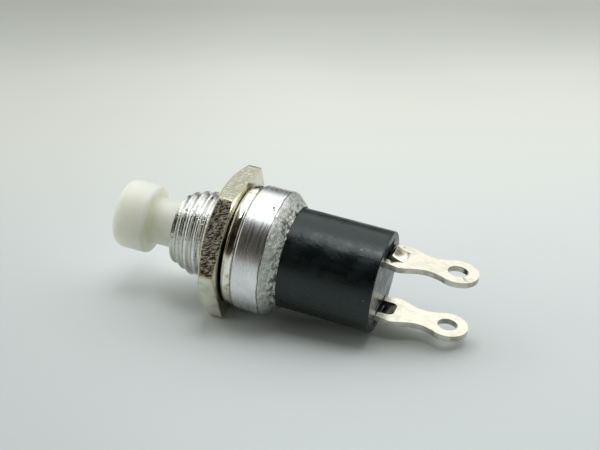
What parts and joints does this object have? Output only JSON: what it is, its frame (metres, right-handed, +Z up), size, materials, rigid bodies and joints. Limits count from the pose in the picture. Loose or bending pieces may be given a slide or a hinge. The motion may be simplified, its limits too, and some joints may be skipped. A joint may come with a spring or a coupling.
{
  "type": "miniature panel pushbutton switch",
  "caption": "Small round panel-mount pushbutton switch with a white plunger, threaded metal bushing, hexagon nut, washer, black base and solder lugs with eyes.",
  "frame": {"origin": "on the switch axis at the panel seat, which is the front shoulder of the shell", "axes": "+X along the switch axis toward the solder lugs, so the button is at -X; +Z up, square to the lowest flat of the nut and to the blades of the lugs"},
  "size_m": [0.029, 0.0124, 0.0106],
  "materials": {
    "shell_aluminium": "turned, bare",
    "base_black": "moulded, glossy",
    "lug_plated": "tinned, bright",
    "spring_steel": "drawn wire",
    "button_white": "moulded, milky",
    "collar_fibre": "pressed fibre",
    "disc_brass": "stamped, bare",
    "washer_plated": "nickel plated, bright",
    "nut_plated": "nickel plated, worn"
  },
  "bodies": {
    "housing": {"shell": "shell_aluminium", "base": "base_black", "terminal_upper": "lug_plated", "terminal_lower": "lug_plated", "return_spring": "spring_steel"},
    "button": {"plunger": "button_white", "insulating_collar": "collar_fibre", "contact_disc": "disc_brass"},
    "washer": {"washer": "washer_plated"},
    "nut": {"hex_nut": "nut_plated"}
  },
  "joints": [
    {"name": "button_press", "type": "slide", "parent": "housing", "child": "button", "axis": [1, 0, 0], "range_m": [0, 0.0016], "stiffness_N_per_m": 1200, "deforming": ["return_spring"]},
    {"name": "washer_slide", "type": "slide", "parent": "housing", "child": "washer", "axis": [-1, 0, 0], "range_m": [0, 0.00337]},
    {"name": "nut_turn", "type": "hinge", "parent": "washer", "child": "nut", "pos_m": [0, 0, 0], "axis": [-1, 0, 0], "range_deg": [0, 1620]}
  ],
  "couplings": [
    {"joint": "nut_turn", "follows": "washer_slide", "rad_per_m": 8377.6}
  ]
}
